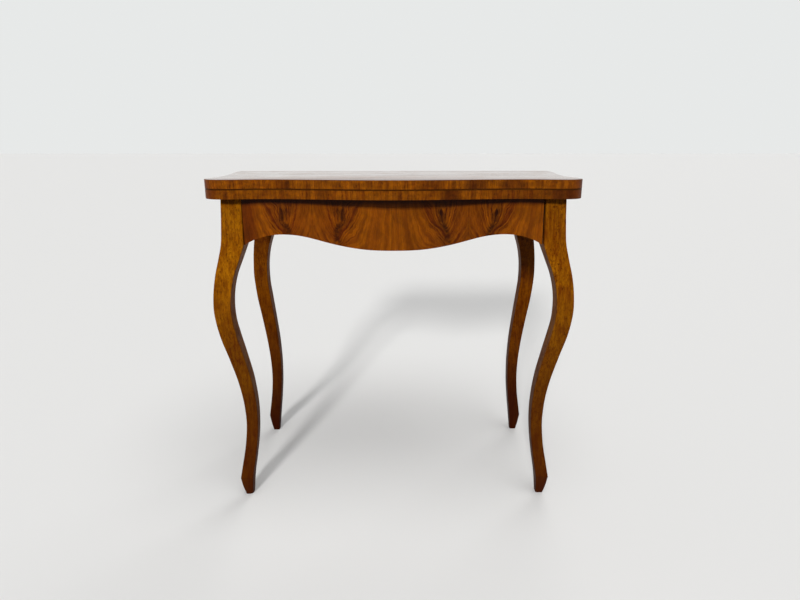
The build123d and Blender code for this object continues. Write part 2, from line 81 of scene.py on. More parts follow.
floor_mesh = bpy.data.meshes.new("floor")
floor_places = [(x * floor_half_size, y * floor_half_size, 0.0) for x, y in floor_corners]
floor_mesh.from_pydata(floor_places, [], [(0, 1, 2, 3)])
floor = bpy.data.objects.new("floor", floor_mesh)
scene.collection.objects.link(floor)


def fill(tree, sockets, values):
    """Sockets by name or number, each linked to another socket or set to a value."""
    for key, value in dict(values).items():
        if hasattr(value, "is_linked"):
            tree.links.new(value, sockets[key])
        else:
            sockets[key].default_value = value


def add_node(tree, kind, inputs, settings):
    """A node with its settings and its inputs filled."""
    made = tree.nodes.new(kind)
    for key, value in settings.items():
        setattr(made, key, value)
    fill(tree, made.inputs, inputs)
    return made


def put(tree, kind, inputs=(), **settings):
    """A shader node of one kind."""
    return add_node(tree, "ShaderNode" + kind, inputs, settings)


def calc(tree, operation, first, second=0.0, third=0.0):
    """The output of one Math node."""
    return put(tree, "Math", {0: first, 1: second, 2: third}, operation=operation).outputs[0]


def span(tree, value, low, high, low_out=0.0, high_out=1.0):
    """A value mapped smoothly from one range to another and held at its ends."""
    inputs = {"Value": value, "From Min": low, "From Max": high, "To Min": low_out, "To Max": high_out}
    return put(tree, "MapRange", inputs, interpolation_type="SMOOTHSTEP").outputs[0]


def mix(tree, factor, first, second, way="MIX"):
    """One colour over another."""
    made = put(tree, "Mix", data_type="RGBA", blend_type=way)
    fill(tree, made.inputs, {0: factor, 6: first, 7: second})
    return made.outputs[2]


def seen_or_mirrored(tree):
    """One for what the camera sees, also in gloss or through glass, and zero for light that bounces."""
    ray = put(tree, "LightPath").outputs
    mirrored = calc(tree, "MAXIMUM", ray["Is Glossy Ray"], ray["Is Transmission Ray"])
    return calc(tree, "MAXIMUM", ray["Is Camera Ray"], mirrored)


floor_finish = bpy.data.materials.new("plain pale floor")
floor_finish.use_nodes = True
floor_tree = floor_finish.node_tree
floor_shader = floor_tree.nodes["Principled BSDF"]
floor_seen = mix(floor_tree, seen_or_mirrored(floor_tree), floor_bounce_colour, floor_colour)
floor_values = {"Base Color": floor_seen, "Roughness": floor_roughness, "Specular IOR Level": floor_specular}
fill(floor_tree, floor_shader.inputs, floor_values)
floor_mesh.materials.append(floor_finish)

world = bpy.data.worlds.new("studio")
scene.world = world
world.use_nodes = True
room = world.node_tree
look = put(room, "SeparateXYZ", {0: put(room, "TexCoord").outputs["Generated"]}).outputs
front_side = span(room, look[1], mirror_dark_y, mirror_bright_y, mirrored_front_level, 1.0)
mirror_level = calc(room, "MAXIMUM", put(room, "LightPath").outputs["Is Camera Ray"], front_side)
backdrop = room.nodes["Background"]
fill(room, backdrop.inputs, {"Color": backdrop_colour, "Strength": mirror_level})
ambient = put(room, "Background", {"Color": ambient_colour, "Strength": ambient_level})
world_mix = put(room, "MixShader", {0: seen_or_mirrored(room), 1: ambient.outputs[0], 2: backdrop.outputs[0]})
room.links.new(world_mix.outputs[0], room.nodes["World Output"].inputs["Surface"])


def soft_sun(name, azimuth, elevation, softness, strength):
    """A soft even light that comes from azimuth, counted from the front towards the right."""
    data = bpy.data.lights.new(name, "SUN")
    data.angle = math.radians(softness)
    data.energy = strength
    lamp = bpy.data.objects.new(name, data)
    turn = math.radians(azimuth)
    rise = math.radians(elevation)
    toward = Vector((math.sin(turn) * math.cos(rise), -math.cos(turn) * math.cos(rise), math.sin(rise)))
    lamp.rotation_euler = toward.to_track_quat("Z", "Y").to_euler()
    lamp.visible_glossy = False
    scene.collection.objects.link(lamp)


soft_sun("window light", azimuth=-14.0, elevation=24.0, softness=8.0, strength=2.55)
soft_sun("ceiling light", azimuth=30.0, elevation=74.0, softness=50.0, strength=1.35)
soft_sun("back light", azimuth=160.0, elevation=30.0, softness=40.0, strength=1.1)


# Walnut
# Legs, aprons and leaves are walnut, solid or as sawn veneer, under an old shellac polish.
# One group draws the wood with its grain along Z, another the polish with its wear.
def joined(tree, x, y, z):
    """A vector from its three parts."""
    return put(tree, "CombineXYZ", {0: x, 1: y, 2: z}).outputs[0]


def vector_calc(tree, operation, first, second):
    """The vector that one Vector Math node gives."""
    return put(tree, "VectorMath", {0: first, 1: second}, operation=operation).outputs[0]


def speckle(tree, vector, scale, detail=3.0, roughness=0.5):
    """Grey noise over a vector, at one scale or at one for each axis."""
    if isinstance(scale, tuple):
        vector = vector_calc(tree, "MULTIPLY", vector, scale)
        scale = 1.0
    inputs = {"Vector": vector, "Scale": scale, "Detail": detail, "Roughness": roughness}
    return put(tree, "TexNoise", inputs).outputs["Fac"]


def shade(tree, colour, level):
    """A colour made lighter or darker by a level that changes over the surface."""
    return mix(tree, 1.0, colour, joined(tree, level, level, level), "MULTIPLY")


def new_group(name, inputs, outputs):
    """An empty shader group with named sockets, and the sockets of its input and output nodes."""
    tree = bpy.data.node_groups.new(name, "ShaderNodeTree")
    for in_out, sockets in (("INPUT", inputs), ("OUTPUT", outputs)):
        for socket_name, kind in sockets:
            tree.interface.new_socket(socket_name, in_out=in_out, socket_type="NodeSocket" + kind)
    return tree, tree.nodes.new("NodeGroupInput").outputs, tree.nodes.new("NodeGroupOutput").inputs


wood_group, given, result = new_group(
    "walnut wood",
    (
        ("Vector", "Vector"),
        ("Pale", "Color"),
        ("Deep", "Color"),
        ("Vein", "Color"),
        ("Band scale", "Float"),
        ("Band strength", "Float"),
        ("Vein strength", "Float"),
        ("Mottle", "Float"),
        ("Specks", "Float"),
    ),
    (("Color", "Color"), ("Height", "Float")),
)
tree = wood_group
along = given["Vector"]
drift_place = vector_calc(tree, "MULTIPLY", along, (8.0, 8.0, 3.0))
drift = put(tree, "TexNoise", {"Vector": drift_place, "Scale": 1.0, "Detail": 2.0}).outputs["Color"]
drift = vector_calc(tree, "SUBTRACT", drift, (0.5, 0.5, 0.5))
bent = vector_calc(tree, "ADD", along, vector_calc(tree, "MULTIPLY", drift, (0.030, 0.030, 0.0)))
band_place = vector_calc(tree, "MULTIPLY", bent, (1.0, 1.0, 0.07))
bands = speckle(tree, band_place, given["Band scale"], 5.0, 0.6)
streaks = speckle(tree, bent, (190.0, 190.0, 9.0), 3.0, 0.65)
fibres = speckle(tree, bent, (820.0, 820.0, 34.0), 2.0, 0.6)
pores = speckle(tree, bent, (1900.0, 1900.0, 130.0), 1.0)
mottle = speckle(tree, along, (46.0, 46.0, 30.0), 4.0, 0.65)
specks = speckle(tree, along, (520.0, 520.0, 120.0), 2.0, 0.7)
tone = calc(tree, "MULTIPLY", span(tree, bands, 0.34, 0.66), given["Band strength"])
tone = calc(tree, "MULTIPLY_ADD", span(tree, streaks, 0.36, 0.64), 0.42, tone)
tone = calc(tree, "MULTIPLY_ADD", span(tree, mottle, 0.36, 0.64), given["Mottle"], tone)
colour = mix(tree, tone, given["Pale"], given["Deep"])
vein = calc(tree, "MULTIPLY", span(tree, bands, 0.56, 0.72), given["Vein strength"])
vein = calc(tree, "MULTIPLY", vein, span(tree, fibres, 0.25, 0.6, 0.35, 1.0))
colour = mix(tree, vein, colour, given["Vein"])
colour = shade(tree, colour, span(tree, fibres, 0.30, 0.70, 1.14, 0.84))
pore = span(tree, pores, 0.60, 0.72)
speck = calc(tree, "MULTIPLY", span(tree, specks, 0.56, 0.68), given["Specks"])
marks = calc(tree, "MAXIMUM", speck, calc(tree, "MULTIPLY", pore, 0.35))
fill(tree, result, {"Color": mix(tree, marks, colour, given["Vein"])})
fill(tree, result, {"Height": calc(tree, "MULTIPLY_ADD", pore, -1.0, fibres)})

polish_group, given, result = new_group(
    "worn polish",
    (("Vector", "Vector"), ("Gloss", "Float"), ("Wear", "Float"), ("Coat", "Float"), ("Dents", "Float")),
    (("Roughness", "Float"), ("Height", "Float"), ("Coat", "Float")),
)
tree = polish_group
place = given["Vector"]
dull = calc(tree, "MULTIPLY", speckle(tree, place, 12.0, 4.0, 0.6), 0.65)
dull = calc(tree, "MULTIPLY_ADD", speckle(tree, place, 75.0, 3.0, 0.6), 0.35, dull)
worn = calc(tree, "MULTIPLY", span(tree, dull, 0.42, 0.68), given["Wear"])
dent = put(tree, "TexVoronoi", {"Vector": place, "Scale": 36.0, "Randomness": 1.0}).outputs["Distance"]
dent = calc(tree, "MULTIPLY", span(tree, dent, 0.0, 0.15, 1.0, 0.0), given["Dents"])
ripple = speckle(tree, place, 24.0, 2.0)
coat_left = calc(tree, "MULTIPLY_ADD", worn, -0.7, 1.0)
fill(tree, result, {"Roughness": calc(tree, "MULTIPLY_ADD", worn, 0.35, given["Gloss"])})
fill(tree, result, {"Height": calc(tree, "SUBTRACT", ripple, dent)})
fill(tree, result, {"Coat": calc(tree, "MULTIPLY", coat_left, given["Coat"])})


def use_group(tree, group, inputs):
    """The outputs of a group placed in a material with its own values."""
    made = tree.nodes.new("ShaderNodeGroup")
    made.node_tree = group
    fill(tree, made.inputs, inputs)
    return made.outputs


walnut_vein = (0.040, 0.008, 0.001, 1.0)


def wood(tree, along, pale, deep, band_scale, bands, veins, mottle, specks, vein=walnut_vein):
    """The colour and the height of wood whose grain runs along the vector's third part."""
    inputs = {
        "Vector": along,
        "Pale": pale,
        "Deep": deep,
        "Vein": vein,
        "Band scale": band_scale,
        "Band strength": bands,
        "Vein strength": veins,
        "Mottle": mottle,
        "Specks": specks,
    }
    made = use_group(tree, wood_group, inputs)
    return made["Color"], made["Height"]


def new_material(name):
    """A material, its node tree, its shader, and the place on the table with its three parts."""
    material = bpy.data.materials.new(name)
    material.use_nodes = True
    tree = material.node_tree
    place = put(tree, "TexCoord").outputs["Object"]
    x, y, z = put(tree, "SeparateXYZ", {0: place}).outputs
    return material, tree, tree.nodes["Principled BSDF"], place, x, y, z


def polished(tree, shader, place, colour, grain, gloss, wear, coat, dents, coat_roughness=0.10):
    """Old polish over a wood colour: gloss in patches, ripples and dents, and grain that shows through."""
    values = {"Vector": place, "Gloss": gloss, "Wear": wear, "Coat": coat, "Dents": dents}
    finish = use_group(tree, polish_group, values)
    relief = put(tree, "Bump", {"Height": grain, "Distance": 0.00004, "Strength": 0.6}).outputs[0]
    ripples = {"Height": finish["Height"], "Distance": 0.0006, "Strength": 0.35, "Normal": relief}
    surface = {
        "Base Color": colour,
        "Roughness": finish["Roughness"],
        "Coat Weight": finish["Coat"],
        "Normal": put(tree, "Bump", ripples).outputs[0],
        "Coat Roughness": coat_roughness,
        "Coat IOR": 1.5,
        "Specular IOR Level": 0.03,
    }
    fill(tree, shader.inputs, surface)


def distance(tree, value, place):
    """How far a value is from a place, either way."""
    return calc(tree, "ABSOLUTE", calc(tree, "SUBTRACT", value, place))


def facing(tree, axis):
    """How squarely a face looks along one axis, either way, from zero to one."""
    normal = put(tree, "SeparateXYZ", {0: put(tree, "NewGeometry").outputs["Normal"]}).outputs
    return calc(tree, "ABSOLUTE", normal[axis])


def dress(material, *names):
    """CAD pieces take a material in their only slot."""
    for name in names:
        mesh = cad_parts[name].data
        mesh.materials.clear()
        mesh.materials.append(material)


def new_piece(name, body, mesh, material, slot, *replaced):
    """A piece of the scene that rides on a body, stands for CAD nodes and takes the given material; its slot
    is not used.
    """
    piece = bpy.data.objects.new(name, mesh)
    mesh.materials.clear()
    mesh.materials.append(material)
    scene.collection.objects.link(piece)
    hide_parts(*replaced)
    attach(piece, body)
    return piece


def smooth_below(mesh, degrees):
    """Faces shade smoothly over edges flatter than the given angle."""
    mesh.shade_smooth()
    mesh.set_sharp_from_angle(angle=math.radians(degrees))


# Legs
# Each of the four cabriole legs is sawn from one walnut square in two directions, with worn arrises.
# They are golden at the top, browner towards the feet, and dull and dark where shoes met them.
leg_square = 0.043
knee_sweep = 0.027
front_leg_low, front_leg_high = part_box("front_right_leg")
leg_top = front_leg_high[2]
leg_inner_x = front_leg_low[0]
frame_half_width = leg_inner_x + leg_square
frame_front_y = front_leg_high[1] - leg_square
frame_back_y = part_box("back_right_leg")[0][1] + leg_square

# The outlines give, at each share of the height, how far the leg stands outside its square, in knee
# sweeps, and how far its inner side is from the square's outer face, in squares.
outer_line = (
    (1.0, 0.0),
    (0.917, 0.11),
    (0.864, 0.22),
    (0.82, 0.455),
    (0.775, 0.72),
    (0.70, 0.97),
    (0.664, 1.0),
    (0.625, 0.926),
    (0.584, 0.774),
    (0.497, 0.293),
    (0.407, -0.163),
    (0.317, -0.43),
    (0.26, -0.456),
    (0.186, -0.293),
    (0.103, 0.085),
    (0.068, 0.256),
)
toe_line = ((0.068, 0.256), (0.033, 0.13), (0.0, -0.056))
inner_line = (
    (0.861, 1.0),
    (0.81, 0.707),
    (0.775, 0.50),
    (0.739, 0.353),
    (0.70, 0.263),
    (0.664, 0.24),
    (0.625, 0.268),
    (0.584, 0.365),
    (0.497, 0.61),
    (0.407, 0.828),
    (0.317, 0.93),
    (0.228, 0.888),
    (0.145, 0.73),
    (0.068, 0.537),
    (0.0, 0.43),
)
toe_share = toe_line[0][0]
square_share = inner_line[0][0]
leg_rings = 150
low_rings = 6
low_ring_share = 0.0018
leg_corners = ((1, 1), (-1, 1), (-1, -1), (1, -1))
inner_corner = 2
arris_steps = 4
side_steps = 3
leg_arris = 0.0013
arris_change = 0.0005
foot_rounding = 0.0007
foot_share = 0.15
joint_arris = 0.0003
hollow_depth = 0.00025
heel_chip = Vector((-0.0185, -0.0015, 0.0))
chip_size = 0.0065
chip_depth_share = 0.55


def curve_through(points):
    """Smooth curve through points given from top to bottom, as a function of the height share."""
    ups, outs = zip(*points)
    last = len(points) - 1
    slopes = []
    for n in range(last + 1):
        before = max(n - 1, 0)
        after = min(n + 1, last)
        if before == n or after == n:
            slopes.append((outs[after] - outs[before]) / (ups[after] - ups[before]))
            continue
        low_step = ups[n] - ups[before]
        high_step = ups[after] - ups[n]
        low_slope = (outs[n] - outs[before]) / low_step
        high_slope = (outs[after] - outs[n]) / high_step
        slopes.append((low_slope * high_step + high_slope * low_step) / (low_step + high_step))

    def value(up):
        for n in range(last):
            if up >= ups[n + 1] or n == last - 1:
                step = ups[n + 1] - ups[n]
                t = (up - ups[n]) / step
                rise = (1 + 2 * t) * (1 - t) ** 2 * outs[n] + t * t * (3 - 2 * t) * outs[n + 1]
                return rise + step * (t * (1 - t) ** 2 * slopes[n] + t * t * (t - 1) * slopes[n + 1])

    return value


outer_curve = curve_through(outer_line)
toe_curve = curve_through(toe_line)
inner_curve = curve_through(inner_line)
ring_shares = [1.0 - n / leg_rings for n in range(leg_rings + 1)]
ring_shares += [toe_share, square_share]
ring_shares += [low_ring_share * n for n in range(1, low_rings + 1)]
ring_shares = sorted(set(ring_shares), reverse=True)


def leg_section(up, arris):
    """A rounded square at one share of the height, as offsets from the frame's corner, and its middle."""
    outside = knee_sweep * (toe_curve(up) if up < toe_share else outer_curve(up))
    inside = -leg_square * (1.0 if up > square_share else inner_curve(up))
    half = (outside - inside) / 2
    middle = (outside + inside) / 2
    section = []
    for side, (sign_a, sign_b) in enumerate(leg_corners):
        radius = joint_arris if side == inner_corner and up > square_share else arris
        for step in range(arris_steps):
            angle = (side + step / (arris_steps - 1)) * math.pi / 2
            a = middle + sign_a * (half - radius) + radius * math.cos(angle)
            b = middle + sign_b * (half - radius) + radius * math.sin(angle)
            section.append((a, b))
        next_a, next_b = leg_corners[(side + 1) % len(leg_corners)]
        from_a, from_b = section[-1]
        for step in range(1, side_steps + 1):
            t = step / (side_steps + 1)
            a = from_a + (middle + next_a * half - from_a) * t
            b = from_b + (middle + next_b * half - from_b) * t
            section.append((a, b))
    return section, middle


def leg_mesh(name, right, back, chipped):
    """Rings of a rounded square from the top of a leg down to its toe, with slight hollows of wear."""
    mesh = bpy.data.meshes.new(name)
    shape = bmesh.new()
    corner_x = frame_half_width * right
    corner_y = frame_back_y if back > 0 else frame_front_y
    rings = []
    for up in ring_shares:
        z = up * leg_top
        wear = noise.noise(Vector((corner_x * 9.0, corner_y * 9.0, z * 22.0)))
        arris = leg_arris + arris_change * wear + foot_rounding * max(0.0, foot_share - up) / foot_share
        section, middle = leg_section(up, arris)
        ring = []
        for a, b in section:
            x = corner_x + right * a
            y = corner_y + back * b
            hollow = 0.0
            if up <= square_share:
                hollow = noise.noise(Vector((x * 30.0, y * 30.0, z * 18.0))) * hollow_depth
            if chipped:
                from_chip = (Vector((a, b, z)) - heel_chip).length
                hollow += max(0.0, chip_size - from_chip) * chip_depth_share
            inward = Vector((corner_x + right * middle - x, corner_y + back * middle - y, 0.0)).normalized()
            ring.append(shape.verts.new(Vector((x, y, z)) + inward * hollow))
        rings.append(ring)
    count = len(rings[0])
    for above, below in zip(rings[:-1], rings[1:]):
        for n in range(count):
            shape.faces.new((above[n], above[(n + 1) % count], below[(n + 1) % count], below[n]))
    shape.faces.new(rings[0])
    shape.faces.new(rings[-1])
    bmesh.ops.recalc_face_normals(shape, faces=shape.faces)
    shape.to_mesh(mesh)
    shape.free()
    smooth_below(mesh, 34)
    return mesh


leg_pale = (0.37, 0.130, 0.002, 1.0)
leg_deep = (0.130, 0.025, 0.0005, 1.0)
leg_foot = (0.038, 0.0045, 0.0005, 1.0)
leg_fleck = (0.058, 0.009, 0.0005, 1.0)
leg_back_painted_shade = (0.66, 0.54, 0.60, 1.0)
leg_seam = (0.012, 0.003, 0.001, 1.0)
seam_foot_z = 0.615
seam_level = 0.85
closed_joint_share = 0.3


def joint_line(tree, x, start, stop):
    """Darkening beside the front apron's end joints, most of it at the right one, which has opened."""
    away = distance(tree, calc(tree, "ABSOLUTE", x), leg_inner_x)
    right_half = calc(tree, "GREATER_THAN", x, 0.0)
    share = calc(tree, "MULTIPLY_ADD", right_half, 1.0 - closed_joint_share, closed_joint_share)
    return calc(tree, "MULTIPLY", span(tree, away, start, stop, seam_level, 0.0), share)


leg_material, tree, shader, place, x, y, z = new_material("walnut leg")
colour, grain = wood(
    tree, place, leg_pale, leg_deep, band_scale=34.0, bands=0.25, veins=0.2, mottle=0.32, specks=0.7
)
worn_height = calc(tree, "MULTIPLY_ADD", speckle(tree, place, (16.0, 16.0, 8.0), 2.0), 0.25, z)
colour = mix(tree, span(tree, worn_height, 0.06, 0.86, 0.97, 0.0), colour, leg_foot)
flecked = span(tree, speckle(tree, place, (22.0, 22.0, 14.0), 2.0), 0.42, 0.60, 0.15, 1.0)
flecked = calc(tree, "MULTIPLY", flecked, span(tree, x, -0.10, 0.10, 0.45, 1.0))
fleck = span(tree, speckle(tree, place, (150.0, 150.0, 95.0), 4.0, 0.7), 0.53, 0.63, 0.0, 0.75)
colour = mix(tree, calc(tree, "MULTIPLY", fleck, flecked), colour, leg_fleck)
# The back legs are darkened and made a little redder: painted shade from the top above them.
colour = mix(tree, calc(tree, "GREATER_THAN", y, 0.0), colour, leg_back_painted_shade, "MULTIPLY")
# The legs of the right half are 4 percent darker: painted shade.
right_half = calc(tree, "GREATER_THAN", x, 0.0)
colour = shade(tree, colour, calc(tree, "MULTIPLY_ADD", right_half, -0.04, 1.0))
seam = calc(tree, "MULTIPLY", joint_line(tree, x, 0.0003, 0.0012), calc(tree, "GREATER_THAN", z, seam_foot_z))
seam = calc(tree, "MULTIPLY", seam, calc(tree, "LESS_THAN", facing(tree, 0), 0.7))
colour = mix(tree, seam, colour, leg_seam)
polished(tree, shader, place, colour, grain, gloss=0.46, wear=0.5, coat=0.03, dents=0.5)

for back, back_name in ((-1, "front"), (1, "back")):
    for right, right_name in ((-1, "left"), (1, "right")):
        name = back_name + "_" + right_name + "_leg"
        mesh = leg_mesh(name, right, back, name == "front_left_leg")
        new_piece("shaped_" + name, "frame", mesh, leg_material, "solid_walnut", name)

# Front apron
# A pine core faced with four sheets of crotch walnut, laid as mirror pairs about each joint.
# Every sheet has a dark eye, and a feather of nested curves round a spine that wanders towards the joint.
left_sheet_low, left_sheet_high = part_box("front_veneer_left")
centre_joint = left_sheet_high[0]
left_sheet = centre_joint - left_sheet_low[0]
right_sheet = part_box("front_veneer_right")[1][0] - centre_joint
eye_place = 0.106
eye_level = 0.687
low_eye_drop = 0.030
spine_lean = -0.26
spine_sway = 0.030
spine_curl = 0.005
spine_reach = 0.060
inner_spread = 2.9
outer_spread = 2.1
nest_foot = 0.020
nest_rise = -1.12
nest_sway = 0.045
nest_curl = 0.004
plain_start_x = -0.280
plain_stop_x = -0.306
shadow_start_z = 0.700
shadow_stop_z = 0.713
crotch_pale = (0.305, 0.081, 0.001, 1.0)
crotch_mid = (0.103, 0.0163, 0.0005, 1.0)
crotch_dark = (0.060, 0.008, 0.0005, 1.0)
crotch_black = (0.022, 0.003, 0.0005, 1.0)
crotch_red = (0.48, 0.34, 0.40, 1.0)

# Places on a sheet: across it from its joint, and up from its eye, with the noise that bends them.
front_material, tree, shader, place, x, y, z = new_material("crotch walnut")
from_centre = calc(tree, "SUBTRACT", x, centre_joint)
right_side = calc(tree, "GREATER_THAN", from_centre, 0.0)
sheet_width = calc(tree, "MULTIPLY_ADD", right_side, right_sheet - left_sheet, left_sheet)
mirrored = calc(tree, "PINGPONG", calc(tree, "ABSOLUTE", from_centre), sheet_width)
sheet_seed = calc(tree, "MULTIPLY", right_side, 0.031)
level = calc(tree, "SUBTRACT", z, eye_level)
flat = joined(tree, mirrored, sheet_seed, level)
sway = calc(tree, "SUBTRACT", speckle(tree, flat, (18.0, 10.0, 20.0), 2.0), 0.5)
curl = calc(tree, "SUBTRACT", speckle(tree, flat, (90.0, 10.0, 70.0), 3.0, 0.6), 0.5)

# The spine leans and sways, and the curves nest round it, steeper on the side of the centre joint.
lean = span(tree, distance(tree, mirrored, eye_place), 0.0, spine_reach, 1.0, 0.0)
wander = calc(tree, "MULTIPLY_ADD", level, spine_lean, calc(tree, "MULTIPLY", sway, spine_sway))
across = calc(tree, "SUBTRACT", mirrored, calc(tree, "MULTIPLY_ADD", lean, wander, eye_place))
across = calc(tree, "MULTIPLY_ADD", curl, spine_curl, across)
away = calc(tree, "ABSOLUTE", across)
outer_half = span(tree, across, -0.008, 0.008)
spread = calc(tree, "MULTIPLY_ADD", outer_half, outer_spread - inner_spread, inner_spread)
spread = calc(tree, "MULTIPLY", across, spread)
straighter = span(tree, away, 0.025, 0.090, 1.0, 0.15)
above = calc(tree, "MULTIPLY", calc(tree, "ADD", level, nest_foot), straighter)
reach = calc(tree, "MULTIPLY_ADD", spread, spread, calc(tree, "MULTIPLY", above, above))
nest = calc(tree, "MULTIPLY_ADD", above, nest_rise, calc(tree, "SQRT", reach))
nest = calc(tree, "MULTIPLY_ADD", sway, nest_sway, nest)
nest = calc(tree, "MULTIPLY_ADD", curl, nest_curl, nest)
nested = joined(tree, nest, sheet_seed, across)

# Grain along the nested curves, darker near the spine and broken up.
broad = speckle(tree, nested, (24.0, 9.0, 12.0), 2.0)
rings = speckle(tree, nested, (80.0, 9.0, 14.0), 3.0, 0.6)
lines = speckle(tree, nested, (290.0, 9.0, 36.0), 3.0, 0.6)
hairs = speckle(tree, nested, (620.0, 9.0, 90.0), 2.0, 0.6)
near = span(tree, away, 0.010, 0.060, 1.0, 0.0)
ring_tone = calc(tree, "MULTIPLY_ADD", near, 0.20, 0.16)
line_tone = calc(tree, "MULTIPLY_ADD", near, 0.16, 0.16)
tone = calc(tree, "MULTIPLY_ADD", span(tree, broad, 0.34, 0.66), 0.46, calc(tree, "MULTIPLY", near, 0.12))
tone = calc(tree, "MULTIPLY_ADD", span(tree, rings, 0.40, 0.64), ring_tone, tone)
tone = calc(tree, "MULTIPLY_ADD", span(tree, lines, 0.40, 0.62), line_tone, tone)
colour = mix(tree, tone, crotch_pale, crotch_mid)
ring_depth = calc(tree, "MULTIPLY_ADD", near, 0.78, 0.04)
line_depth = calc(tree, "MULTIPLY_ADD", near, 0.85, 0.05)
dark_ring = calc(tree, "MULTIPLY", span(tree, rings, 0.52, 0.64), ring_depth)
dark_line = calc(tree, "MULTIPLY", span(tree, lines, 0.55, 0.66), line_depth)
broken = span(tree, speckle(tree, flat, (110.0, 9.0, 60.0), 3.0, 0.65), 0.40, 0.60, 0.25, 1.0)
dark_grain = calc(tree, "MULTIPLY", calc(tree, "MAXIMUM", dark_ring, dark_line), broken)
colour = mix(tree, dark_grain, colour, crotch_dark)


def from_eye(tree, across, level, size):
    """Distance from an eye in a sheet, in the eye's own sizes."""
    place = vector_calc(tree, "MULTIPLY", joined(tree, across, 0.0, level), size)
    return put(tree, "VectorMath", {0: place}, operation="LENGTH").outputs[1]


# A smudged dark eye with a smaller one below it, and dark blots on the spine.
blot = speckle(tree, flat, (70.0, 9.0, 48.0), 3.0, 0.65)
on_spine = span(tree, away, 0.002, 0.016, 1.0, 0.0)
spine_dark = calc(tree, "MULTIPLY", on_spine, span(tree, blot, 0.42, 0.60, 0.10, 0.75))
eye = from_eye(tree, across, level, (110.0, 1.0, 75.0))
low_eye = from_eye(tree, across, calc(tree, "ADD", level, low_eye_drop), (120.0, 1.0, 80.0))
eyes = calc(tree, "MINIMUM", eye, calc(tree, "ADD", low_eye, 0.15))
smudge = calc(tree, "SUBTRACT", speckle(tree, flat, (190.0, 31.0, 75.0), 3.0, 0.65), 0.5)
eyes = calc(tree, "MULTIPLY_ADD", smudge, 3.2, eyes)
eye_grain = span(tree, lines, 0.36, 0.58, 0.60, 1.0)
eyes = calc(tree, "MULTIPLY", span(tree, eyes, 0.20, 1.90, 0.95, 0.0), eye_grain)
colour = mix(tree, calc(tree, "MAXIMUM", spine_dark, eyes), colour, crotch_black)

# A redder plain strip at the left end, golden patches, a browner right half, darker lines at the joints, and
# a painted shadow under the leaves' overhang.
plain_end = span(tree, x, plain_stop_x, plain_start_x, 0.85, 0.0)
colour = mix(tree, plain_end, colour, crotch_red, "MULTIPLY")
fibre = speckle(tree, flat, (700.0, 9.0, 55.0), 3.0, 0.6)
gold = speckle(tree, flat, (42.0, 20.0, 30.0), 3.0, 0.6)
colour = shade(tree, colour, span(tree, hairs, 0.30, 0.70, 1.12, 0.86))
colour = shade(tree, colour, span(tree, fibre, 0.32, 0.68, 0.86, 1.12))
colour = shade(tree, colour, span(tree, gold, 0.34, 0.66, 0.80, 1.16))
colour = shade(tree, colour, calc(tree, "MULTIPLY_ADD", right_side, -0.13, 1.0))
to_joint = calc(tree, "MINIMUM", mirrored, calc(tree, "SUBTRACT", sheet_width, mirrored))
colour = shade(tree, colour, span(tree, to_joint, 0.0001, 0.0007, 0.55, 1.0))
colour = mix(tree, span(tree, z, shadow_start_z, shadow_stop_z, 0.0, 0.80), colour, crotch_black)
colour = mix(tree, joint_line(tree, x, 0.0006, 0.0018), colour, crotch_black)
polished(tree, shader, place, colour, hairs, gloss=0.30, wear=0.35, coat=0.08, dents=0.3)
dress(front_material, "front_veneer_far_left", "front_veneer_left")
dress(front_material, "front_veneer_right", "front_veneer_far_right")

# Side aprons
# Walnut boards shaped like the front one on a shorter span, with their grain along the side.
side_material, tree, shader, place, x, y, z = new_material("walnut side apron")
along = joined(tree, x, z, y)
colour, grain = wood(
    tree, along, leg_pale, leg_deep, band_scale=26.0, bands=0.6, veins=0.4, mottle=0.2, specks=0.3
)
polished(tree, shader, place, colour, grain, gloss=0.36, wear=0.4, coat=0.10, dents=0.4)
dress(side_material, "left_apron", "right_apron")

# Leaves
# Each leaf is a pine board with walnut veneer on both faces, a walnut band round its edge and a lipping
# at the back. The faces are two sheets mirrored about the middle, and the band is laid in patches.
lower_face_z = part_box("lower_leaf_playing_veneer")[1][2]
upper_face_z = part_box("upper_leaf_playing_veneer")[0][2]
joint_level = (lower_face_z + upper_face_z) / 2
table_top_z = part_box("upper_leaf_top_veneer")[1][2]
leaf_under_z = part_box("lower_leaf_edge_band")[0][2]
lipping_low, lipping_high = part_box("upper_leaf_back_lipping")


def upright_faces(tree):
    """One on a face that stands, zero on one that lies flat."""
    return calc(tree, "LESS_THAN", facing(tree, 2), 0.85)


def dirt_and_shade_rim(tree, colour, away, start, stop, level):
    """Dirt and painted shade on the standing faces, from start to stop away from a line."""
    dirt = calc(tree, "MULTIPLY", upright_faces(tree), span(tree, away, start, stop, 1.0 - level, 0.0))
    return shade(tree, colour, calc(tree, "SUBTRACT", 1.0, dirt))


# Both playing faces have the same figure, so they meet as a mirror pair when the table is open.
face_pale = (0.27, 0.085, 0.006, 1.0)
face_deep = (0.12, 0.030, 0.002, 1.0)
playing_depth = 0.0005
playing_edge_middle = 0.0008
face_coat = 0.88
face_material, tree, shader, place, x, y, z = new_material("walnut face veneer")
top_side = calc(tree, "GREATER_THAN", z, joint_level + playing_depth)
mirror_x = calc(tree, "ABSOLUTE", x)
along = joined(tree, calc(tree, "MULTIPLY", top_side, 0.5), y, mirror_x)
colour, grain = wood(
    tree, along, face_pale, face_deep, band_scale=15.0, bands=0.8, veins=0.65, mottle=0.12, specks=0.1
)
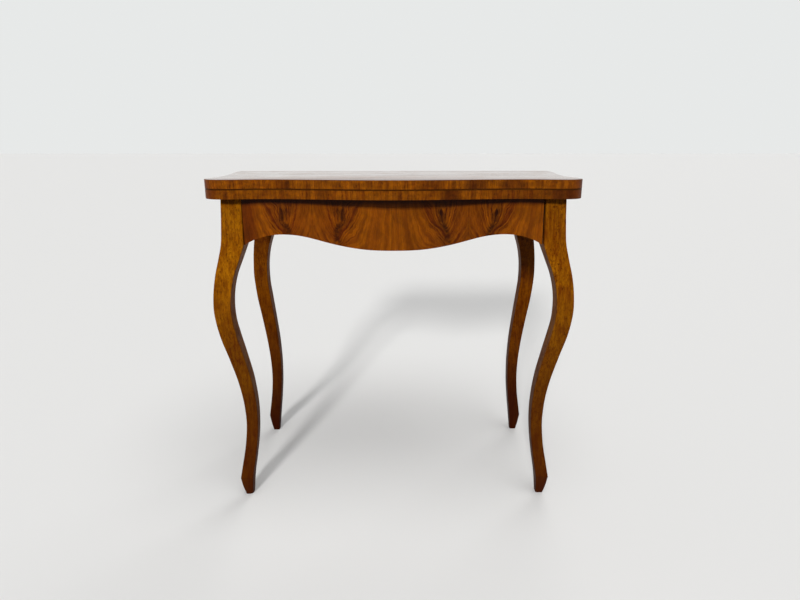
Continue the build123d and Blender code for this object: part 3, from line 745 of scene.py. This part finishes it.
# The standing edges of the playing veneers next to the joint between the leaves are darkened: dirt and
# painted shade in the joint.
from_playing_edge = distance(tree, distance(tree, z, joint_level), playing_edge_middle)
colour = dirt_and_shade_rim(tree, colour, from_playing_edge, 0.0001, 0.0007, 0.12)
coat = calc(tree, "SUBTRACT", face_coat, span(tree, mirror_x, 0.08, 0.34, 0.0, 0.09))
coat = calc(tree, "SUBTRACT", coat, span(tree, x, 0.10, 0.34, 0.0, 0.03))
coat = calc(tree, "MULTIPLY", coat, calc(tree, "SUBTRACT", 1.0, upright_faces(tree)))
polished(
    tree, shader, place, colour, grain, gloss=0.16, wear=0.25, coat=coat, dents=0.25, coat_roughness=0.06
)

# Dark patches of the band on the front: which leaf, the middle, half the width and the depth.
edge_patches = (
    (1.0, -0.229, 0.020, 0.60),
    (1.0, 0.078, 0.030, 0.50),
    (1.0, 0.168, 0.026, 0.64),
    (1.0, 0.248, 0.028, 0.60),
    (0.0, -0.146, 0.014, 0.55),
    (0.0, 0.117, 0.024, 0.70),
    (0.0, 0.300, 0.120, 0.45),
    (0.0, 0.352, 0.036, 0.80),
)
edge_pale = (0.31, 0.088, 0.001, 1.0)
edge_deep = (0.100, 0.0165, 0.0005, 1.0)
edge_dark = (0.055, 0.009, 0.0005, 1.0)
edge_red = (0.110, 0.016, 0.0005, 1.0)
red_start_x = 0.345
red_stop_x = 0.395
strips_per_metre = 7.3
edge_material, tree, shader, place, x, y, z = new_material("walnut edge band")
around = calc(tree, "ADD", calc(tree, "ABSOLUTE", x), calc(tree, "MULTIPLY", y, 0.9))
around = calc(tree, "MULTIPLY", around, calc(tree, "SIGN", x))
upper_side = calc(tree, "GREATER_THAN", z, joint_level)
along = joined(tree, around, calc(tree, "MULTIPLY", upper_side, 0.37), z)
colour, grain = wood(
    tree, along, edge_pale, edge_deep, band_scale=48.0, bands=0.16, veins=0.07, mottle=0.30, specks=0.6
)
patch = span(tree, speckle(tree, along, (11.0, 9.0, 3.0), 2.0), 0.56, 0.66, 0.0, 0.45)
patch = calc(tree, "MULTIPLY", patch, calc(tree, "GREATER_THAN", y, -0.10))
on_front = calc(tree, "LESS_THAN", y, 0.0)
for upper, middle, half_width, depth in edge_patches:
    same_leaf = calc(tree, "COMPARE", upper_side, upper, 0.5)
    from_middle = distance(tree, x, middle)
    one = span(tree, from_middle, half_width * 0.4, half_width * 1.2, depth, 0.0)
    one = calc(tree, "MULTIPLY", calc(tree, "MULTIPLY", one, same_leaf), on_front)
    patch = calc(tree, "MAXIMUM", patch, one)
colour = mix(tree, patch, colour, edge_dark)
strip = calc(tree, "MULTIPLY_ADD", upper_side, 4.43, calc(tree, "MULTIPLY", around, strips_per_metre))
strip = calc(tree, "FLOOR", strip)
strip_tone = put(tree, "TexWhiteNoise", {"W": strip}, noise_dimensions="1D").outputs["Value"]
blotch = speckle(tree, along, (64.0, 9.0, 95.0), 3.0, 0.65)
edge_fibre = speckle(tree, along, (330.0, 9.0, 90.0), 2.0, 0.6)
colour = shade(tree, colour, calc(tree, "MULTIPLY_ADD", strip_tone, 0.28, 0.80))
colour = shade(tree, colour, span(tree, blotch, 0.34, 0.66, 0.79, 1.18))
colour = shade(tree, colour, span(tree, edge_fibre, 0.32, 0.68, 0.88, 1.10))
end_red = span(tree, calc(tree, "ABSOLUTE", x), red_start_x, red_stop_x, 0.0, 0.55)
colour = mix(tree, end_red, colour, edge_red)
# The band's standing faces next to the joint between the leaves are darkened: dirt and painted shade.
colour = dirt_and_shade_rim(tree, colour, distance(tree, z, joint_level), 0.0012, 0.0022, 0.30)
polished(tree, shader, place, colour, grain, gloss=0.34, wear=0.45, coat=0.08, dents=0.5)

lipping_pale = (0.235, 0.072, 0.005, 1.0)
lipping_deep = (0.100, 0.023, 0.0015, 1.0)
lipping_material, tree, shader, place, x, y, z = new_material("walnut lipping")
upper_side = calc(tree, "GREATER_THAN", z, joint_level)
along = joined(tree, calc(tree, "MULTIPLY_ADD", upper_side, 0.6, y), z, x)
colour, grain = wood(
    tree, along, lipping_pale, lipping_deep, band_scale=30.0, bands=0.5, veins=0.3, mottle=0.15, specks=0.2
)
# The lipping's standing faces next to the joint between the leaves are darkened: dirt and painted shade.
colour = dirt_and_shade_rim(tree, colour, distance(tree, z, joint_level), 0.0004, 0.0014, 0.35)
polished(tree, shader, place, colour, grain, gloss=0.30, wear=0.40, coat=0.25, dents=0.5)

weld_distance = 0.000002
flat_angle = math.radians(0.3)
sharp_angle = 0.9
arris_segments = 4
level_tolerance = 0.00005
lipping_margin = 0.0001
back_margin = 0.0004
outer_arris = 0.0009
inner_arris = 0.0005


def eased(node, radius, chosen):
    """A copy of a CAD piece with some of its sharp edges eased."""
    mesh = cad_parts[node].data.copy()
    shape = bmesh.new()
    shape.from_mesh(mesh)
    bmesh.ops.remove_doubles(shape, verts=shape.verts, dist=weld_distance)
    bmesh.ops.dissolve_limit(shape, angle_limit=flat_angle, verts=shape.verts, edges=shape.edges)
    between_faces = [edge for edge in shape.edges if len(edge.link_faces) == 2]
    sharp = [edge for edge in between_faces if edge.calc_face_angle() > sharp_angle]
    bmesh.ops.bevel(
        shape,
        geom=[edge for edge in sharp if all(chosen(vert.co) for vert in edge.verts)],
        offset=radius,
        segments=arris_segments,
        profile=0.5,
        affect="EDGES",
        clamp_overlap=True,
    )
    shape.to_mesh(mesh)
    shape.free()
    smooth_below(mesh, 32)
    return mesh


def rim_at(level):
    """Test for a point on one level of the leaves' shaped rim, in front of the lipping."""
    return lambda point: abs(point.z - level) < level_tolerance and point.y < lipping_low[1] - lipping_margin


def back_at(level):
    """Test for a point on the back arris of the leaves at one level."""
    return lambda point: abs(point.z - level) < level_tolerance and point.y > lipping_high[1] - back_margin


veneered = (face_material, "walnut_veneer")
banded = (edge_material, "walnut_veneer")
lipped = (lipping_material, "solid_walnut")
eased_pieces = (
    ("eased_top_veneer", "upper_leaf_top_veneer", outer_arris, rim_at(table_top_z), veneered),
    ("eased_upper_playing_veneer", "upper_leaf_playing_veneer", inner_arris, rim_at(upper_face_z), veneered),
    ("eased_lower_playing_veneer", "lower_leaf_playing_veneer", inner_arris, rim_at(lower_face_z), veneered),
    ("eased_lower_edge_band", "lower_leaf_edge_band", inner_arris, rim_at(leaf_under_z), banded),
    ("eased_upper_lipping", "upper_leaf_back_lipping", outer_arris, back_at(table_top_z), lipped),
    ("eased_lower_lipping", "lower_leaf_back_lipping", outer_arris, back_at(leaf_under_z), lipped),
)
for name, node, radius, chosen, (material, slot) in eased_pieces:
    leaf = "upper_leaf" if node.startswith("upper_leaf") else "lower_leaf"
    new_piece(name, leaf, eased(node, radius, chosen), material, slot, node)
dress(edge_material, "upper_leaf_edge_band")

# Carcass
# The parts that no one sees are bare pine, browned by age, and the pivot rail and the stop peg are beech.
# The core of the front apron is dark where it shows in the opened joint.
pine_pale = (0.50, 0.30, 0.13, 1.0)
pine_deep = (0.30, 0.15, 0.055, 1.0)
bare_vein = (0.16, 0.07, 0.025, 1.0)
beech_pale = (0.46, 0.26, 0.13, 1.0)
beech_deep = (0.33, 0.17, 0.075, 1.0)
opened_joint_dark = (0.010, 0.003, 0.002, 1.0)
veneer_end_x = 0.3212
joint_back_y = -0.120
grain_orders = {"x": (1, 2, 0), "y": (0, 2, 1), "z": (0, 1, 2)}


def bare_wood(name, pale, deep, grain_axis, *nodes):
    """Unpolished wood with its grain along one axis of the table."""
    material, tree, shader, place, *parts = new_material(name)
    along = joined(tree, *[parts[axis] for axis in grain_orders[grain_axis]])
    figure = {"band_scale": 30.0, "bands": 0.7, "veins": 0.35, "mottle": 0.1, "specks": 0.1}
    colour, grain = wood(tree, along, pale, deep, vein=bare_vein, **figure)
    past_veneer = calc(tree, "GREATER_THAN", calc(tree, "ABSOLUTE", parts[0]), veneer_end_x)
    in_joint = calc(tree, "MULTIPLY", past_veneer, calc(tree, "LESS_THAN", parts[1], joint_back_y))
    surface = {
        "Base Color": mix(tree, in_joint, colour, opened_joint_dark),
        "Normal": put(tree, "Bump", {"Height": grain, "Distance": 0.0001, "Strength": 0.7}).outputs[0],
        "Roughness": 0.72,
        "Specular IOR Level": 0.3,
    }
    fill(tree, shader.inputs, surface)
    dress(material, *nodes)


long_pine = (
    "front_apron",
    "back_apron",
    "upper_leaf_board",
    "lower_leaf_board",
    "compartment_floor",
    "floor_ledgers",
)
bare_wood("bare pine along", pine_pale, pine_deep, "x", *long_pine)
bare_wood("bare pine across", pine_pale, pine_deep, "y", "compartment_divider")
bare_wood("bare pine upright", pine_pale, pine_deep, "z", "corner_blocks")
bare_wood("bare beech across", beech_pale, beech_deep, "y", "pivot_rail")
bare_wood("bare beech upright", beech_pale, beech_deep, "z", "stop_peg")

# Metalwork
# The pivot's plate, bolt, washer, nut and bush are dark wrought iron, and the hinges dulled brass.
iron_bright = (0.20, 0.19, 0.18, 1.0)
iron_dull = (0.10, 0.07, 0.055, 1.0)
brass_bright = (0.52, 0.34, 0.13, 1.0)
brass_dull = (0.27, 0.16, 0.065, 1.0)
tarnish_roughness = 0.16
iron_nodes = ("pivot_plate", "pivot_bolt", "pivot_washer", "pivot_nut", "pivot_bush")
hinge_plates = [leaf + "_hinge_plate_" + side for leaf in ("lower", "upper") for side in ("left", "right")]
brass_nodes = (*hinge_plates, "lower_hinge_pins", "upper_hinge_pins", "hinge_link_left", "hinge_link_right")


def metal(name, bright, dull, roughness, nodes):
    """A worn metal with tarnish in patches."""
    material, tree, shader, place, x, y, z = new_material(name)
    tarnish = speckle(tree, place, 70.0, 6.0, 0.7)
    relief = {"Height": speckle(tree, place, 900.0), "Distance": 0.00005, "Strength": 0.5}
    surface = {
        "Base Color": mix(tree, span(tree, tarnish, 0.30, 0.72), bright, dull),
        "Roughness": span(tree, tarnish, 0.35, 0.70, roughness, roughness + tarnish_roughness),
        "Normal": put(tree, "Bump", relief).outputs[0],
        "Metallic": 1.0,
    }
    fill(tree, shader.inputs, surface)
    dress(material, *nodes)
    return material


iron = metal("wrought iron", iron_bright, iron_dull, 0.42, iron_nodes)
brass = metal("dulled brass", brass_bright, brass_dull, 0.34, brass_nodes)

# Screws
# The hinge plates and the pivot plate are held by slotted screws, whose slots stopped at any angle.
# Each screw stands where the CAD model has it, a hair proud of its plate.
screw_tree = bpy.data.node_groups.new("slotted screws", "GeometryNodeTree")
screw_tree.interface.new_socket("Seats", in_out="INPUT", socket_type="NodeSocketGeometry")
for socket_name in ("Head radius", "Shank radius", "Shank length"):
    screw_tree.interface.new_socket(socket_name, in_out="INPUT", socket_type="NodeSocketFloat")
screw_tree.interface.new_socket("Metal", in_out="INPUT", socket_type="NodeSocketMaterial")
screw_tree.interface.new_socket("Screws", in_out="OUTPUT", socket_type="NodeSocketGeometry")
head_proud = 0.00025
head_room = 0.00015
slot_width = 0.0007
slot_depth = 0.0007
slot_length_share = 2.4
screw_sides = 32
turn_seed = 7


def step(kind, inputs=(), **settings):
    """The first output in use of a new node in the screws' tree."""
    made = add_node(screw_tree, kind, inputs, settings)
    return [socket for socket in made.outputs if socket.enabled][0]


def reckon(operation, first, second=0.0):
    """The output of one Math node of the screws' tree."""
    return step("ShaderNodeMath", {0: first, 1: second}, operation=operation)


def moved(part, move):
    """A part of the screw set to its place."""
    return step("GeometryNodeTransform", {"Geometry": part, "Translation": move})


def rod(radius, length):
    """A plain cylinder along the screw."""
    return step("GeometryNodeMeshCylinder", {"Vertices": screw_sides, "Radius": radius, "Depth": length})


given = screw_tree.nodes.new("NodeGroupInput").outputs
head_depth = reckon("SUBTRACT", given["Head radius"], given["Shank radius"])
head_height = reckon("ADD", head_depth, head_proud)
head_middle = reckon("SUBTRACT", head_proud, reckon("MULTIPLY", head_height, 0.5))
head = rod(reckon("SUBTRACT", given["Head radius"], head_room), head_height)
head = moved(head, step("ShaderNodeCombineXYZ", {2: head_middle}))
slot_length = reckon("MULTIPLY", given["Head radius"], slot_length_share)
slot_size = step("ShaderNodeCombineXYZ", {0: slot_length, 1: slot_width, 2: slot_depth * 2})
slot = moved(step("GeometryNodeMeshCube", {"Size": slot_size}), (0.0, 0.0, head_proud))
head = step("GeometryNodeMeshBoolean", {0: head, 1: slot}, operation="DIFFERENCE")
shank_middle = step("ShaderNodeCombineXYZ", {2: reckon("MULTIPLY", given["Shank length"], -0.5)})
shank_length = reckon("SUBTRACT", given["Shank length"], reckon("MULTIPLY", head_depth, 1.6))
shank = moved(rod(given["Shank radius"], shank_length), shank_middle)
whole = screw_tree.nodes.new("GeometryNodeJoinGeometry")
screw_tree.links.new(head, whole.inputs[0])
screw_tree.links.new(shank, whole.inputs[0])
outward = step("GeometryNodeInputNamedAttribute", {"Name": "outward"}, data_type="FLOAT_VECTOR")
aim = step("FunctionNodeAlignRotationToVector", {"Vector": outward}, axis="Z")
chance = step("FunctionNodeRandomValue", {2: 0.0, 3: math.pi, "Seed": turn_seed}, data_type="FLOAT")
turn = step("FunctionNodeAxisAngleToRotation", {"Axis": (0.0, 0.0, 1.0), "Angle": chance})
aim = step("FunctionNodeRotateRotation", {0: aim, 1: turn}, rotation_space="LOCAL")
seated = {"Points": given["Seats"], "Instance": whole.outputs[0], "Rotation": aim}
screws = step("GeometryNodeRealizeInstances", {0: step("GeometryNodeInstanceOnPoints", seated)})
screws = step("GeometryNodeSetMaterial", {"Geometry": screws, "Material": given["Metal"]})
screw_tree.links.new(screws, screw_tree.nodes.new("NodeGroupOutput").inputs[0])


def screw_seats(node, outward):
    """The middle of each screw head in a CAD piece, and the direction that it faces."""
    shape = bmesh.new()
    shape.from_mesh(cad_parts[node].data)
    bmesh.ops.remove_doubles(shape, verts=shape.verts, dist=weld_distance)
    waiting = set(shape.verts)
    seats = []
    for first in shape.verts:
        if first not in waiting:
            continue
        waiting.remove(first)
        one = [first]
        for vert in one:
            for edge in vert.link_edges:
                other = edge.other_vert(vert)
                if other in waiting:
                    waiting.remove(other)
                    one.append(other)
        low = Vector([min(vert.co[axis] for vert in one) for axis in range(3)])
        high = Vector([max(vert.co[axis] for vert in one) for axis in range(3)])
        middle = (low + high) / 2
        facing_out = outward(middle)
        reach = max(vert.co.dot(facing_out) for vert in one)
        seats.append((middle + facing_out * (reach - middle.dot(facing_out)), facing_out))
    shape.free()
    return seats


def slotted_screws(node, body, outward, sizes, material, slot):
    """The screws of one CAD piece, made on points at their heads."""
    seats = screw_seats(node, outward)
    points = bpy.data.meshes.new("seats of " + node)
    points.from_pydata([seat for seat, facing_out in seats], [], [])
    facings = points.attributes.new("outward", "FLOAT_VECTOR", "POINT")
    for n, (seat, facing_out) in enumerate(seats):
        facings.data[n].vector = facing_out
    holder = bpy.data.objects.new("seats of " + node, points)
    scene.collection.objects.link(holder)
    modifier = holder.modifiers.new("screws", "NODES")
    modifier.node_group = screw_tree
    tree_inputs = [item for item in screw_tree.interface.items_tree if item.in_out == "INPUT"]
    sockets = {item.name: item.identifier for item in tree_inputs}
    for socket_name, size in sizes.items():
        modifier[sockets[socket_name]] = size
    modifier[sockets["Metal"]] = material
    bpy.context.view_layer.update()
    made = holder.evaluated_get(bpy.context.evaluated_depsgraph_get())
    mesh = bpy.data.meshes.new_from_object(made)
    holder.modifiers.remove(modifier)
    bpy.data.objects.remove(holder)
    smooth_below(mesh, 30)
    return new_piece("slotted_" + node, body, mesh, material, slot, node)


def sideways(point):
    """Outward from the nearer end of the table."""
    return Vector((math.copysign(1.0, point.x), 0.0, 0.0))


def downward(point):
    """Straight down."""
    return Vector((0.0, 0.0, -1.0))


hinge_screw = {"Head radius": 0.0026, "Shank radius": 0.0015, "Shank length": 0.020}
plate_screw = {"Head radius": 0.0045, "Shank radius": 0.0025, "Shank length": 0.014}
slotted_screws("lower_hinge_screws", "lower_leaf", sideways, hinge_screw, brass, "brass")
slotted_screws("upper_hinge_screws", "upper_leaf", sideways, hinge_screw, brass, "brass")
slotted_screws("pivot_plate_screws", "lower_leaf", downward, plate_screw, iron, "iron")
